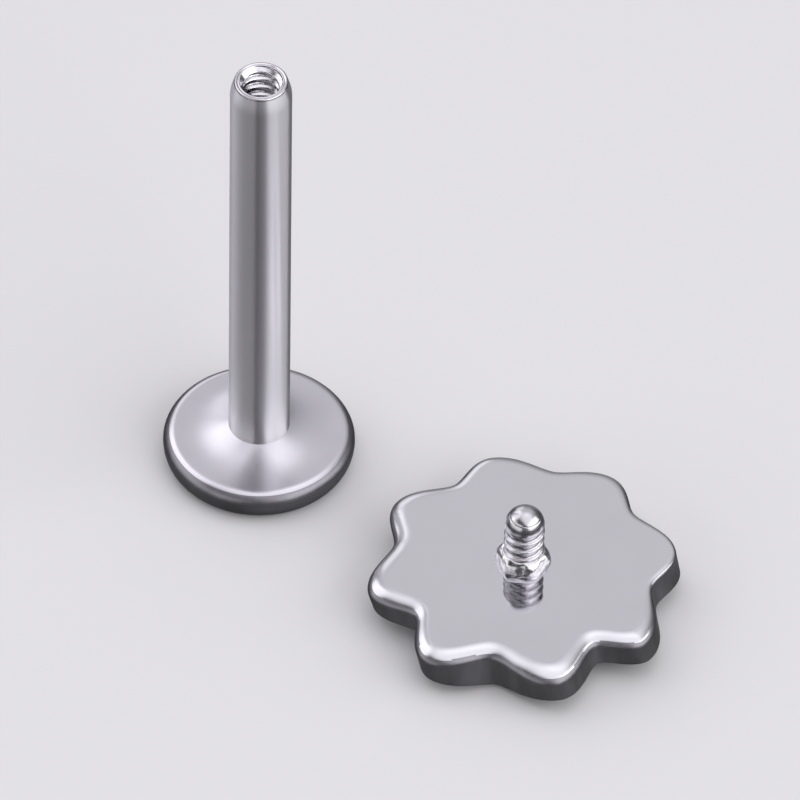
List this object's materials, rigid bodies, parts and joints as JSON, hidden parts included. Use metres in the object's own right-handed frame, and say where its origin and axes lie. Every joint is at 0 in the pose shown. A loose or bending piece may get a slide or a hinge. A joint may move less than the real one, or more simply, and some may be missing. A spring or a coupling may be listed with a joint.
{
  "type": "labret stud",
  "caption": "Flat-back labret stud taken apart: an internally threaded post on its disc, and a scalloped flower top lying face down, threaded pin up.",
  "frame": {"origin": "centre of the flat back's underside, on the post's axis, on the surface that both pieces stand on", "axes": "+Z along the post, out of its threaded bore; the flower top lies towards +X and -Y"},
  "size_m": [0.0104, 0.009, 0.0107],
  "materials": {
    "satin_steel": "fine ground and lightly polished",
    "polished_steel": "mirror polished back, cast and tumbled wall"
  },
  "bodies": {
    "post": {"labret_post": "satin_steel"},
    "top": {"flower_top": "polished_steel"}
  },
  "joints": [
    {"name": "top_lift", "type": "slide", "parent": "post", "child": "top", "axis": [0, 0, 1], "range_m": [0, 0.012]}
  ]
}
